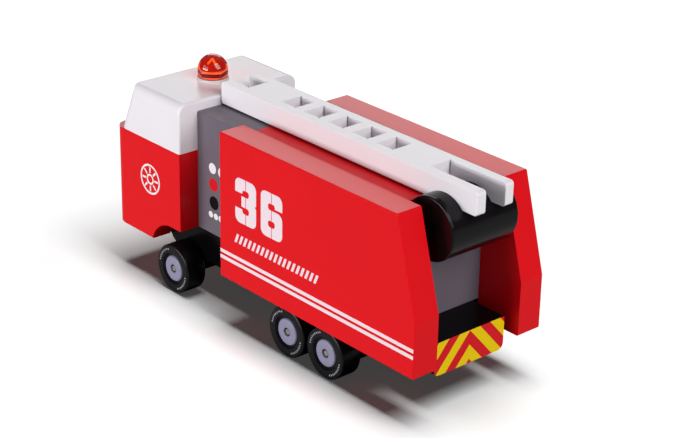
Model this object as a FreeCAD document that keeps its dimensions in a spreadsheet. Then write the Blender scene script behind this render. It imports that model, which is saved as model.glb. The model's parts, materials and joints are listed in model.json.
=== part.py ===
"""Wooden toy fire engine with a tilting ladder.

Every piece is an object of one FreeCAD document, bound to the spreadsheet "sizes".
Millimetres; +X to the front, +Y to the left, +Z up; the origin is on the floor,
under the middle of the engine's length and width.
"""
import math
import os

import FreeCAD
import Part
import Sketcher
from FreeCAD import Vector

doc = FreeCAD.newDocument("fire_engine")
sheet = doc.addObject("Spreadsheet::Sheet", "sizes")

# Driving sizes: alias, millimetres (or a plain count), meaning.
SIZES = [
    # stance
    ("floor_gap", 16.6, "floor to the underside of the chassis board"),
    ("fit_gap", 0.1, "glue gap round a let-in piece"),
    ("edge_round", 0.7, "softened edge of every painted block"),
    ("overcut", 1.0, "how far a cut starts outside its block"),
    # chassis board
    ("board_thick", 14.9, "chassis board"),
    ("nose_len", 22.4, "board reaching under the cab"),
    ("nose_round", 10.0, "round under the board's front end"),
    ("tail_len", 18.7, "narrow tail behind the rear wall"),
    ("tail_inset", 3.4, "tail narrower than the board on each side"),
    ("tail_round", 3.0, "lower long edges of the tail"),
    # axles and wheels
    ("front_axle_in", 5.6, "front axle before the cab's rear"),
    ("rear_axle_in", 40.4, "first rear axle behind the body block's front"),
    ("tandem_pitch", 24.8, "first to second rear axle"),
    ("axle_radius", 1.25, "axle rod"),
    ("axle_play", 0.07, "running clearance of an axle in its block"),
    ("axle_inset", 0.5, "rod's end inside the hub's face"),
    ("block_inset", 0.7, "axle block narrower than the board on each side"),
    ("block_drop", 7.8, "axle block below the board"),
    ("front_overhang", 5.3, "front block before and behind its axle"),
    ("rear_overhang", 9.3, "rear block before and behind its axles"),
    ("tyre_radius", 11.5, "tyre"),
    ("tyre_width", 10.2, "tyre"),
    ("tyre_shoulder", 0.9, "round of the tyre's shoulders"),
    ("hub_radius", 6.0, "hub in the tyre"),
    ("hub_inset", 0.35, "hub's face inside the tyre's face"),
    ("hub_boss_radius", 2.9, "boss that keeps the wheel off its block"),
    ("hub_boss_len", 0.9, "length of that boss"),
    ("hub_dish_radius", 2.0, "counterbore round the rod's end"),
    ("hub_dish_depth", 2.0, "depth of that counterbore"),
    ("wheel_play", 0.5, "side play between a hub's boss and its block"),
    # body block, pump block and side panels
    ("body_width", 46.3, "body and pump blocks, between the panels"),
    ("body_len", 96.55, "body block"),
    ("body_rear_x", -75.525, "rear wall of the body block"),
    ("body_top", 86.8, "top of bed and pump block"),
    ("bed_thick", 4.0, "red bed board"),
    ("pump_len", 34.1, "pump block, from the bed to the cab"),
    ("panel_thick", 12.85, "side panel"),
    ("panel_lap", 2.2, "panels reaching past the bed's front end"),
    ("panel_foot", 23.0, "floor to the panels' lower edge"),
    ("panel_rise", 3.4, "panels standing above the bed"),
    ("panel_top_over", 11.6, "panels' upper edge behind the rear wall"),
    ("panel_foot_over", 23.65, "panels' lower edge behind the rear wall"),
    ("panel_bend", 24.4, "height of the bend in the rear edge"),
    # cab
    ("cab_cheek", 10.2, "cab wider than the body block on each side"),
    ("cab_len", 49.1, "cab at its belt"),
    ("cab_belt", 68.6, "floor to the joint of the cab's two blocks"),
    ("cab_foot", 20.7, "floor to the apron before the front wheels"),
    ("cab_corner", 6.0, "front corners of the lower block"),
    ("apron_round", 1.2, "softened lower edge of the apron"),
    ("arch_shift", 1.5, "centre of the wheel arch's round before the axle"),
    ("arch_radius", 15.0, "round of the wheel arch"),
    ("roof_rise", 4.6, "roof above the bed"),
    ("screen_ledge", 4.0, "ledge before the windscreen"),
    ("screen_slope", 9.5, "how far the windscreen leans back"),
    ("roof_corner", 5.0, "front corners of the upper block"),
    ("roof_round", 4.5, "round along the roof's two long edges"),
    ("rear_round", 1.2, "softened outline of the upper block's rear face"),
    # beacon
    ("beacon_in", 18.6, "beacon's axis before the cab's rear"),
    ("collar_radius", 7.3, "beacon's collar"),
    ("collar_height", 1.3, "beacon's collar"),
    ("lens_radius", 6.9, "beacon's dome"),
    ("lens_wall", 0.9, "wall of the dome"),
    ("lens_skirt", 3.3, "straight part of the dome"),
    ("lamp_radius", 5.6, "reflector's seat in the dome"),
    ("lamp_seat", 2.4, "height of that seat"),
    ("lamp_cone", 2.6, "radius of the reflector's cone"),
    ("lamp_height", 8.2, "reflector"),
    # ladder and its drum
    ("ladder_over", 28.7, "ladder's tail behind the rear wall"),
    ("ladder_width", 20.4, "ladder"),
    ("ladder_thick", 10.2, "ladder"),
    ("ladder_gap", 0.7, "air between ladder and bed"),
    ("tip_gap", 0.3, "air between the ladder's tip and the cab"),
    ("ladder_round", 0.6, "softened edges of the ladder"),
    ("ladder_end_round", 1.5, "upper and lower corners at the ladder's ends"),
    ("relief_radius", 0.45, "cutter's relief in the corners of holes and forks"),
    ("slot_width", 10.8, "holes and forks across the ladder"),
    ("hole_len", 9.3, "each hole along the ladder"),
    ("hole_count", 5, "holes"),
    ("hole_pitch", 15.2, "hole to hole"),
    ("first_hole", 40.6, "ladder's front end to the middle of the first hole"),
    ("tip_fork", 13.6, "depth of the front fork"),
    ("tail_fork", 30.9, "depth of the rear fork"),
    ("drum_radius", 13.6, "drum"),
    ("drum_gap", 5.0, "air between the drum and each panel"),
    ("drum_back", 11.1, "drum's axis behind the rear wall"),
    ("drum_drop", 8.1, "drum's axis below the top of the bed"),
    ("drum_play", 0.7, "air round the drum in its hollow"),
    ("pin_radius", 1.5, "pivot pin"),
    ("pin_play", 0.06, "running clearance of the pin in the panels"),
    ("pin_depth", 6.0, "pin in each panel"),
    ("pin_end", 0.3, "air between the pin's end and its bore's floor"),
]


class Size:
    """A length that keeps its number together with its spreadsheet expression."""

    def __init__(self, number, text):
        self.number = number
        self.text = text

    @staticmethod
    def of(other):
        return other if isinstance(other, Size) else Size(float(other), str(other))

    def __add__(self, other):
        other = Size.of(other)
        return Size(self.number + other.number, f"({self.text} + {other.text})")

    def __sub__(self, other):
        other = Size.of(other)
        return Size(self.number - other.number, f"({self.text} - {other.text})")

    def __mul__(self, other):
        other = Size.of(other)
        return Size(self.number * other.number, f"({self.text} * {other.text})")

    def __truediv__(self, other):
        other = Size.of(other)
        return Size(self.number / other.number, f"({self.text} / {other.text})")

    def __neg__(self):
        return Size(-self.number, f"(-{self.text})")


class Sizes:
    """The sheet's cells by name, as Size values."""


s = Sizes()
for row, (alias, number, meaning) in enumerate(SIZES, start=1):
    sheet.set(f"A{row}", str(number))
    sheet.setAlias(f"A{row}", alias)
    sheet.set(f"B{row}", meaning)
    setattr(s, alias, Size(float(number), f"sizes.{alias}"))
doc.recompute()
ZERO = Size(0.0, "0")
CLOSE = 1e-3  # millimetres within which two places count as one

# Levels and places that follow from the driving sizes.
s.deck = s.floor_gap + s.board_thick
s.tail_x = s.body_rear_x - s.tail_len
s.body_front_x = s.body_rear_x + s.body_len
s.cab_rear_x = s.body_front_x + s.pump_len
s.cab_front_x = s.cab_rear_x + s.cab_len
s.roof = s.body_top + s.roof_rise
s.roof_height = s.roof - s.cab_belt
s.cab_width = s.body_width + s.cab_cheek * 2
s.tail_width = s.body_width - s.tail_inset * 2
s.block_width = s.body_width - s.block_inset * 2
s.block_foot = s.floor_gap - s.block_drop
s.tyre_inner = s.block_width / 2 + s.wheel_play + s.hub_boss_len
s.tyre_outer = s.tyre_inner + s.tyre_width
s.hub_outer = s.tyre_outer - s.hub_inset
s.front_axle_x = s.cab_rear_x + s.front_axle_in
s.rear_axle_x = s.body_front_x - s.rear_axle_in
s.last_axle_x = s.rear_axle_x - s.tandem_pitch
s.ladder_foot = s.body_top + s.ladder_gap
s.ladder_tip_x = s.cab_rear_x - s.tip_gap
s.ladder_tail_x = s.body_rear_x - s.ladder_over
s.ladder_len = s.ladder_tip_x - s.ladder_tail_x
s.drum_x = s.body_rear_x - s.drum_back
s.drum_rise = s.body_top - s.drum_drop
s.drum_len = s.body_width - s.drum_gap * 2
s.panel_inner = s.body_width / 2
s.panel_front_x = s.body_front_x + s.panel_lap
s.panel_rear_x = s.body_rear_x - s.panel_foot_over
s.panel_height = s.body_top + s.panel_rise - s.panel_foot


# --- document helpers -------------------------------------------------------------------

def bind(thing, **values):
    """Bind properties of thing to Size expressions; Base_x stands for Placement.Base.x."""
    for name, size in values.items():
        path = "." + name.replace("Base_", "Placement.Base.") if name.startswith("Base_") else name
        thing.setExpression(path, size.text)


def place(body, x=ZERO, y=ZERO, z=ZERO):
    bind(body, Base_x=x, Base_y=y, Base_z=z)


def new_body(label):
    body = doc.addObject("PartDesign::Body", label)
    body.Label = label
    return body


def new_sketch(body, plane, name):
    """A sketch on one of the body's own origin planes: XY, XZ or YZ."""
    support = [f for f in body.Origin.OriginFeatures if f.Role == plane + "_Plane"][0]
    sketch = body.newObject("Sketcher::SketchObject", name)
    sketch.AttachmentSupport = [(support, "")]
    sketch.MapMode = "FlatFace"
    return sketch


def fix(sketch, kind, geometry, corner, size):
    """Hold one coordinate of a sketch point at a Size from the sketch's origin."""
    axis = -2 if kind == "DistanceX" else -1
    if size.text == "0":
        sketch.addConstraint(Sketcher.Constraint("PointOnObject", geometry, corner, axis))
        return
    if size.number < 0:
        size = -size
        ends = (geometry, corner, -1, 1)
    else:
        ends = (-1, 1, geometry, corner)
    index = sketch.addConstraint(Sketcher.Constraint(kind, *ends, size.number))
    sketch.setExpression(f"Constraints[{index}]", size.text)


def polygon(sketch, points):
    """A closed outline of straight lines through (across, up) pairs of Sizes."""
    corners = [Vector(u.number, v.number, 0) for u, v in points]
    first = sketch.GeometryCount
    count = len(corners)
    for i in range(count):
        sketch.addGeometry(Part.LineSegment(corners[i], corners[(i + 1) % count]), False)
    for i in range(count):
        here, after = first + i, first + (i + 1) % count
        sketch.addConstraint(Sketcher.Constraint("Coincident", here, 2, after, 1))
    for i, (u, v) in enumerate(points):
        fix(sketch, "DistanceX", first + i, 1, u)
        fix(sketch, "DistanceY", first + i, 1, v)


def rectangle(sketch, left, low, right, high):
    polygon(sketch, [(left, low), (right, low), (right, high), (left, high)])


def circle(sketch, across, up, radius):
    centre = Vector(across.number, up.number, 0)
    index = sketch.addGeometry(Part.Circle(centre, Vector(0, 0, 1), radius.number), False)
    fix(sketch, "DistanceX", index, 3, across)
    fix(sketch, "DistanceY", index, 3, up)
    rule = sketch.addConstraint(Sketcher.Constraint("Radius", index, radius.number))
    sketch.setExpression(f"Constraints[{rule}]", radius.text)


def pad(body, sketch, length, middle=False):
    feature = body.newObject("PartDesign::Pad", sketch.Name + "_pad")
    feature.Profile = sketch
    feature.SideType = "Symmetric" if middle else "One side"
    bind(feature, Length=length)
    doc.recompute()
    return feature


def pocket(body, sketch, length=None, middle=False, reverse=False):
    """A pocket of the given length, or through everything on both sides."""
    feature = body.newObject("PartDesign::Pocket", sketch.Name + "_pocket")
    feature.Profile = sketch
    feature.Reversed = reverse
    feature.SideType = "Symmetric" if middle or length is None else "One side"
    if length is None:
        feature.Type = "ThroughAll"
    else:
        bind(feature, Length=length)
    before = body.Shape.Volume
    doc.recompute()
    if feature.Shape.Volume > before - CLOSE:
        raise RuntimeError(f"{feature.Name} cuts nothing")
    return feature


def turned(body, sketch, axis):
    """Turn a half section once round the sketch's H_Axis or V_Axis."""
    feature = body.newObject("PartDesign::Revolution", sketch.Name + "_turn")
    feature.Profile = sketch
    feature.ReferenceAxis = (sketch, [axis])
    feature.Angle = 360
    doc.recompute()


def soften(body, name, radius, wanted):
    """Round the edges of the body's tip for which wanted(edge, its middle, box of corners) holds."""
    tip = body.Tip
    box = FreeCAD.BoundBox()
    for vertex in tip.Shape.Vertexes:
        box.add(vertex.Point)
    names = []
    for number, edge in enumerate(tip.Shape.Edges, start=1):
        middle = edge.valueAt((edge.FirstParameter + edge.LastParameter) / 2)
        if wanted(edge, middle, box):
            names.append(f"Edge{number}")
    feature = body.newObject("PartDesign::Fillet", name)
    feature.Base = (tip, names)
    bind(feature, Radius=radius)
    doc.recompute()
    return feature


def near(a, b):
    return abs(a - b) < CLOSE


def along(edge, axis):
    """Whether a straight edge runs along the axis given as a Vector."""
    if edge.Curve.TypeId != "Part::GeomLine":
        return False
    return near(abs(edge.Curve.Direction.dot(axis)), 1)


def circle_radius(edge):
    """Radius of a round edge, or zero for any other."""
    return edge.Curve.Radius if edge.Curve.TypeId == "Part::GeomCircle" else 0


X_AXIS, Y_AXIS, Z_AXIS = Vector(1, 0, 0), Vector(0, 1, 0), Vector(0, 0, 1)


# --- chassis ----------------------------------------------------------------------------

def chassis_board():
    """Flat board with a narrow tail and rounded lower edges."""
    body = new_body("chassis_board")
    side = new_sketch(body, "XZ", "board_side")
    length = s.cab_rear_x + s.nose_len - s.tail_x
    rectangle(side, ZERO, ZERO, length, s.board_thick)
    pad(body, side, s.body_width, middle=True)
    waste = new_sketch(body, "XY", "tail_waste")
    for sign in (1, -1):
        edge = s.tail_width / 2 * sign
        far = s.body_width * sign
        rectangle(waste, ZERO, edge, s.tail_len, far)
    pocket(body, waste)
    soften(body, "nose_bend", s.nose_round,
           lambda e, m, b: along(e, Y_AXIS) and near(m.x, b.XMax) and near(m.z, b.ZMin))
    soften(body, "tail_edges", s.tail_round,
           lambda e, m, b: along(e, X_AXIS) and near(m.z, b.ZMin) and near(abs(m.y), s.tail_width.number / 2))
    place(body, x=s.tail_x, z=s.floor_gap)
    return body


def axle_block(label, first_x, axle_count, overhang):
    """Block under the board with a running bore for each of its axles."""
    body = new_body(label)
    side = new_sketch(body, "XZ", label + "_side")
    spread = s.tandem_pitch * (axle_count - 1)
    rectangle(side, -overhang - spread, ZERO, overhang, s.block_drop)
    pad(body, side, s.block_width, middle=True)
    bores = new_sketch(body, "XZ", label + "_bores")
    for i in range(axle_count):
        circle(bores, -s.tandem_pitch * i, s.tyre_radius - s.block_foot, s.axle_radius + s.axle_play)
    pocket(body, bores)
    soften(body, label + "_edges", s.edge_round,
           lambda e, m, b: along(e, Z_AXIS) or along(e, Y_AXIS) and near(m.z, b.ZMin))
    place(body, x=first_x, z=s.block_foot)
    return body


# --- wheels -----------------------------------------------------------------------------

def axle(label, x):
    """Steel rod from hub to hub."""
    rod = doc.addObject("Part::Cylinder", label)
    rod.Label = label
    half = s.hub_outer - s.axle_inset
    bind(rod, Radius=s.axle_radius, Height=half * 2, Base_x=x, Base_y=half, Base_z=s.tyre_radius)
    rod.Placement.Rotation = FreeCAD.Rotation(X_AXIS, 90)
    return rod


def tyre(label):
    """Plain tyre with round shoulders; its outer face is at zero on the X axis."""
    body = new_body(label)
    half = new_sketch(body, "XZ", label + "_half")
    rectangle(half, ZERO, s.hub_radius, s.tyre_width, s.tyre_radius)
    turned(body, half, "H_Axis")
    soften(body, label + "_shoulders", s.tyre_shoulder,
           lambda e, m, b: circle_radius(e) > s.hub_radius.number + CLOSE)
    return body


def hub(label):
    """Hub with a dish round the rod's end and a boss towards the axle block."""
    inner = s.tyre_width - s.hub_inset
    boss = inner + s.hub_boss_len
    dish = s.hub_dish_depth
    body = new_body(label)
    half = new_sketch(body, "XZ", label + "_half")
    polygon(half, [(dish, s.axle_radius), (dish, s.hub_dish_radius), (ZERO, s.hub_dish_radius),
                   (ZERO, s.hub_radius), (inner, s.hub_radius), (inner, s.hub_boss_radius),
                   (boss, s.hub_boss_radius), (boss, s.axle_radius)])
    turned(body, half, "H_Axis")
    return body


def wheels():
    """Three axles, each with a hub and a tyre at both ends."""
    for where, x in (("front", s.front_axle_x), ("middle", s.rear_axle_x), ("rear", s.last_axle_x)):
        axle(f"axle_{where}", x)
        for side, sign in (("left", 1), ("right", -1)):
            outward = FreeCAD.Rotation(Z_AXIS, -90 * sign)
            for piece, face in ((tyre(f"tyre_{where}_{side}"), s.tyre_outer),
                                (hub(f"hub_{where}_{side}"), s.hub_outer)):
                piece.Placement.Rotation = outward
                place(piece, x=x, y=face * sign, z=s.tyre_radius)


# --- body -------------------------------------------------------------------------------

def plain_block(label, length, width, height, x, z):
    """A board or block padded across the toy; x and z are its rear lower edge."""
    body = new_body(label)
    side = new_sketch(body, "XZ", label + "_side")
    rectangle(side, ZERO, ZERO, length, height)
    pad(body, side, width, middle=True)
    place(body, x=x, z=z)
    return body


def drum_hollow(body, foot):
    """Cut the drum's hollow across a block whose lower rear corner is at foot."""
    round_cut = new_sketch(body, "XZ", body.Label + "_hollow")
    circle(round_cut, -s.drum_back, s.drum_rise - foot, s.drum_radius + s.drum_play)
    pocket(body, round_cut)


def body_block():
    foot = s.deck
    block = plain_block("body_block", s.body_len, s.body_width, s.body_top - s.bed_thick - foot,
                        s.body_rear_x, foot)
    drum_hollow(block, foot)
    return block


def ladder_bed():
    foot = s.body_top - s.bed_thick
    board = plain_block("ladder_bed", s.body_len, s.body_width, s.bed_thick, s.body_rear_x, foot)
    drum_hollow(board, foot)
    return board


def pump_block():
    block = plain_block("pump_block", s.pump_len, s.body_width, s.body_top - s.deck, s.body_front_x, s.deck)
    soften(block, "pump_edges", s.edge_round,
           lambda e, m, b: along(e, X_AXIS) and near(m.z, b.ZMax))
    return block


def side_panel(side, sign):
    """Thick side board; its rear edge slants out to a bend and then runs straight down."""
    body = new_body(f"side_panel_{side}")
    outline = new_sketch(body, "XZ", f"panel_{side}_outline")
    slant = s.panel_foot_over - s.panel_top_over
    length = s.panel_front_x - s.panel_rear_x
    polygon(outline, [(ZERO, ZERO), (length, ZERO), (length, s.panel_height),
                      (slant, s.panel_height), (ZERO, s.panel_bend)])
    pad(body, outline, s.panel_thick, middle=True)
    inner = s.panel_thick / 2 * -sign
    bore = new_sketch(body, "XZ", f"panel_{side}_bore")
    circle(bore, s.drum_x - s.panel_rear_x, s.drum_rise - s.panel_foot, s.pin_radius + s.pin_play)
    bore.AttachmentOffset = FreeCAD.Placement(Vector(0, 0, -inner.number), FreeCAD.Rotation())
    bore.setExpression(".AttachmentOffset.Base.z", (-inner).text)
    pocket(body, bore, s.pin_depth + s.pin_end, reverse=sign < 0)
    soften(body, f"panel_{side}_edges", s.edge_round,
           lambda e, m, b: near(m.y * sign, b.YMax if sign > 0 else -b.YMin) or
           along(e, Y_AXIS) and not near(m.z, s.drum_rise.number - s.panel_foot.number))
    middle = (s.panel_inner + s.panel_thick / 2) * sign
    place(body, x=s.panel_rear_x, y=middle, z=s.panel_foot)
    return body


# --- cab --------------------------------------------------------------------------------

def cab_lower():
    """Lower cab block: apron before the wheels, round arch and a slot for the board."""
    body = new_body("cab_lower")
    side = new_sketch(body, "XZ", "cab_side")
    rectangle(side, ZERO, s.cab_foot - s.deck, s.cab_len, s.cab_belt - s.deck)
    pad(body, side, s.cab_width, middle=True)
    arch_x = s.front_axle_in + s.arch_shift
    arch = new_sketch(body, "XZ", "arch_round")
    circle(arch, arch_x, -s.arch_radius, s.arch_radius)
    pocket(body, arch)
    rear = new_sketch(body, "XZ", "arch_rear")
    rectangle(rear, -s.overcut, s.cab_foot - s.deck - s.overcut, arch_x, ZERO)
    pocket(body, rear)
    slot = new_sketch(body, "XZ", "board_slot")
    rectangle(slot, -s.overcut, s.cab_foot - s.deck - s.overcut, s.nose_len + s.fit_gap, ZERO)
    pocket(body, slot, s.body_width + s.fit_gap * 2, middle=True)
    soften(body, "cab_corners", s.cab_corner,
           lambda e, m, b: along(e, Z_AXIS) and near(m.x, b.XMax))
    soften(body, "apron_bend", s.apron_round,
           lambda e, m, b: along(e, Y_AXIS) and near(m.x, b.XMax) and near(m.z, b.ZMin))
    place(body, x=s.cab_rear_x, z=s.deck)
    return body


def round_waste(sketch, sign):
    """What falls away outside the long round on one side of the roof, seen from behind."""
    side, top = s.cab_width / 2 * sign, s.roof_height
    across, up = side - s.roof_round * sign, top - s.roof_round
    centre = Vector(across.number, up.number, 0)
    ring = Part.Circle(centre, Vector(0, 0, 1), s.roof_round.number)
    turns = (0, math.pi / 2) if sign > 0 else (math.pi / 2, math.pi)
    side_end, top_end = (1, 2) if sign > 0 else (2, 1)
    arc = sketch.addGeometry(Part.ArcOfCircle(ring, *turns), False)
    corners = [(side, up), (side + s.overcut * sign, up), (side + s.overcut * sign, top + s.overcut),
               (across, top + s.overcut), (across, top)]
    places = [Vector(u.number, v.number, 0) for u, v in corners]
    lines = [sketch.addGeometry(Part.LineSegment(*ends), False) for ends in zip(places, places[1:])]
    sketch.addConstraint(Sketcher.Constraint("Coincident", arc, side_end, lines[0], 1))
    for before, after in zip(lines, lines[1:]):
        sketch.addConstraint(Sketcher.Constraint("Coincident", before, 2, after, 1))
    sketch.addConstraint(Sketcher.Constraint("Coincident", lines[-1], 2, arc, top_end))
    for line, (u, v) in zip(lines, corners):
        fix(sketch, "DistanceX", line, 1, u)
        fix(sketch, "DistanceY", line, 1, v)
    fix(sketch, "DistanceX", arc, 3, across)
    fix(sketch, "DistanceY", arc, 3, up)
    fix(sketch, "DistanceX", lines[-1], 2, across)


def cab_upper():
    """Upper cab block: leaning windscreen, rounded front corners and long rounds along the roof."""
    body = new_body("cab_upper")
    side = new_sketch(body, "XZ", "roof_side")
    base = s.cab_len - s.screen_ledge
    polygon(side, [(ZERO, ZERO), (base, ZERO), (base - s.screen_slope, s.roof_height), (ZERO, s.roof_height)])
    pad(body, side, s.cab_width, middle=True)
    soften(body, "screen_corners", s.roof_corner,
           lambda e, m, b: not along(e, X_AXIS) and m.x > b.XMax - s.screen_slope.number
           and near(m.z, s.roof_height.number / 2))
    waste = new_sketch(body, "YZ", "roof_waste")
    for sign in (1, -1):
        round_waste(waste, sign)
    pocket(body, waste)
    soften(body, "rear_outline", s.rear_round,
           lambda e, m, b: near(m.x, b.XMin) and m.z > CLOSE)
    place(body, x=s.cab_rear_x, z=s.cab_belt)
    return body


# --- beacon -----------------------------------------------------------------------------

def dome(sketch):
    """Half section of the lens: a thin straight skirt under a quarter round."""
    outer, inner, skirt = s.lens_radius, s.lens_radius - s.lens_wall, s.lens_skirt
    top = Vector(0, skirt.number, 0)
    arcs, walls = [], []
    for radius in (outer, inner):
        ring = Part.Circle(top, Vector(0, 0, 1), radius.number)
        arcs.append(sketch.addGeometry(Part.ArcOfCircle(ring, 0, math.pi / 2), False))
        low = Vector(radius.number, 0, 0)
        walls.append(sketch.addGeometry(Part.LineSegment(low, low + top), False))
    low_in, low_out = Vector(inner.number, 0, 0), Vector(outer.number, 0, 0)
    rim = sketch.addGeometry(Part.LineSegment(low_in, low_out), False)
    high_in, high_out = Vector(0, inner.number, 0) + top, Vector(0, outer.number, 0) + top
    crown = sketch.addGeometry(Part.LineSegment(high_in, high_out), False)
    joins = [(rim, 1, walls[1], 1), (rim, 2, walls[0], 1), (walls[0], 2, arcs[0], 1),
             (walls[1], 2, arcs[1], 1), (arcs[1], 2, crown, 1), (arcs[0], 2, crown, 2)]
    for join in joins:
        sketch.addConstraint(Sketcher.Constraint("Coincident", *join))
    for arc, wall, radius in zip(arcs, walls, (outer, inner)):
        fix(sketch, "DistanceX", wall, 1, radius)
        fix(sketch, "DistanceY", wall, 1, ZERO)
        fix(sketch, "DistanceX", arc, 3, ZERO)
        fix(sketch, "DistanceY", arc, 3, skirt)
        fix(sketch, "DistanceY", wall, 2, skirt)
        sketch.addConstraint(Sketcher.Constraint("Vertical", wall))
    fix(sketch, "DistanceX", crown, 1, ZERO)
    fix(sketch, "DistanceX", crown, 2, ZERO)


def beacon():
    """Collar on the roof, hollow dome and the reflector inside it."""
    collar = new_body("beacon_collar")
    half = new_sketch(collar, "XZ", "collar_half")
    rectangle(half, ZERO, ZERO, s.collar_radius, s.collar_height)
    turned(collar, half, "V_Axis")
    soften(collar, "collar_edge", s.edge_round,
           lambda e, m, b: near(m.z, b.ZMax) and circle_radius(e))

    lamp = new_body("beacon_lamp")
    half = new_sketch(lamp, "XZ", "lamp_half")
    polygon(half, [(ZERO, ZERO), (s.lamp_radius, ZERO), (s.lamp_radius, s.lamp_seat),
                   (s.lamp_cone, s.lamp_seat), (ZERO, s.lamp_height)])
    turned(lamp, half, "V_Axis")

    lens = new_body("beacon_lens")
    half = new_sketch(lens, "XZ", "lens_half")
    dome(half)
    turned(lens, half, "V_Axis")

    for piece, foot in ((collar, s.roof), (lamp, s.roof + s.collar_height), (lens, s.roof + s.collar_height)):
        place(piece, x=s.cab_rear_x + s.beacon_in, z=foot)


# --- ladder and drum --------------------------------------------------------------------

def ladder():
    """One board with a fork at each end and a row of square holes between."""
    body = new_body("ladder")
    plan = new_sketch(body, "XY", "ladder_plan")
    half, slot, length = s.ladder_width / 2, s.slot_width / 2, s.ladder_len
    tip_floor = length - s.tip_fork
    polygon(plan, [(ZERO, -half), (length, -half), (length, -slot), (tip_floor, -slot), (tip_floor, slot),
                   (length, slot), (length, half), (ZERO, half), (ZERO, slot), (s.tail_fork, slot),
                   (s.tail_fork, -slot), (ZERO, -slot)])
    pad(body, plan, s.ladder_thick)
    first = length - s.first_hole
    hole = new_sketch(body, "XY", "rung_hole")
    rectangle(hole, first - s.hole_len / 2, -slot, first + s.hole_len / 2, slot)
    cut = pocket(body, hole)
    corners = new_sketch(body, "XY", "hole_corners")
    for x in (first - s.hole_len / 2, first + s.hole_len / 2):
        for y in (slot, -slot):
            circle(corners, x, y, s.relief_radius)
    relief = pocket(body, corners)
    row = body.newObject("PartDesign::LinearPattern", "hole_row")
    row.Originals = [cut, relief]
    row.Direction = (hole, ["H_Axis"])
    row.Reversed = True
    row.setExpression("Length", (s.hole_pitch * (s.hole_count - 1)).text)
    row.setExpression("Occurrences", "sizes.hole_count")
    body.Tip = row
    doc.recompute()
    corners = new_sketch(body, "XY", "fork_corners")
    for x in (tip_floor, s.tail_fork):
        for y in (slot, -slot):
            circle(corners, x, y, s.relief_radius)
    pocket(body, corners)
    soften(body, "ladder_ends", s.ladder_end_round,
           lambda e, m, b: along(e, Y_AXIS) and (near(m.x, b.XMin) or near(m.x, b.XMax)))
    soften(body, "ladder_edges", s.ladder_round,
           lambda e, m, b: near(abs(m.y), s.ladder_width.number / 2) and along(e, X_AXIS))
    place(body, x=s.ladder_tail_x, z=s.ladder_foot)
    return body


def drum():
    """Drum across the rear bay, grooved on top for the ladder's two prongs."""
    body = new_body("drum")
    end = new_sketch(body, "XZ", "drum_end")
    circle(end, ZERO, ZERO, s.drum_radius)
    pad(body, end, s.drum_len, middle=True)
    floor = s.ladder_foot - s.drum_rise
    for name, sign in (("left", 1), ("right", -1)):
        groove = new_sketch(body, "YZ", f"groove_{name}")
        inner = (s.slot_width / 2 - s.fit_gap) * sign
        outer = (s.ladder_width / 2 + s.fit_gap) * sign
        rectangle(groove, inner, floor, outer, s.drum_radius + s.overcut)
        pocket(body, groove)
    bore = new_sketch(body, "XZ", "drum_bore")
    circle(bore, ZERO, ZERO, s.pin_radius)
    pocket(body, bore)
    soften(body, "drum_rims", s.edge_round,
           lambda e, m, b: near(abs(m.y), b.YMax) and circle_radius(e) > s.pin_radius.number + CLOSE)
    place(body, x=s.drum_x, z=s.drum_rise)
    return body


def pivot_pin():
    """Steel pin fixed in the drum and turning in both panels."""
    rod = doc.addObject("Part::Cylinder", "pivot_pin")
    rod.Label = "pivot_pin"
    half = s.panel_inner + s.pin_depth
    bind(rod, Radius=s.pin_radius, Height=half * 2, Base_x=s.drum_x, Base_y=half, Base_z=s.drum_rise)
    rod.Placement.Rotation = FreeCAD.Rotation(X_AXIS, 90)
    return rod


# --- build, check and write -------------------------------------------------------------

def write_parts():
    """Recompute, refuse anything failed, and write one STEP file per sub-part."""
    doc.recompute()
    for thing in doc.Objects:
        if "Invalid" in thing.State or "Error" in thing.State:
            raise RuntimeError(f"{thing.Name} failed: {thing.State}")
    os.makedirs("parts", exist_ok=True)
    pieces = [o for o in doc.Objects if o.TypeId in ("PartDesign::Body", "Part::Cylinder")]
    for piece in pieces:
        shape = piece.Shape
        if shape.isNull() or not shape.isValid() or len(shape.Solids) != 1:
            raise RuntimeError(f"{piece.Label} is not one valid solid")
        shape.exportStep(f"parts/{piece.Label}.step")
    print(len(pieces), "parts written")


chassis_board()
axle_block("axle_block_front", s.front_axle_x, 1, s.front_overhang)
axle_block("axle_block_rear", s.rear_axle_x, 2, s.rear_overhang)
wheels()
body_block()
ladder_bed()
pump_block()
side_panel("left", 1)
side_panel("right", -1)
cab_lower()
cab_upper()
beacon()
ladder()
drum()
pivot_pin()
write_parts()
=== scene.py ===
"""Wooden toy fire engine: finishes, printed markings, wheels, beacon and studio."""
import json
import math

import bmesh
import bpy
from mathutils import Matrix, Vector

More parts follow.
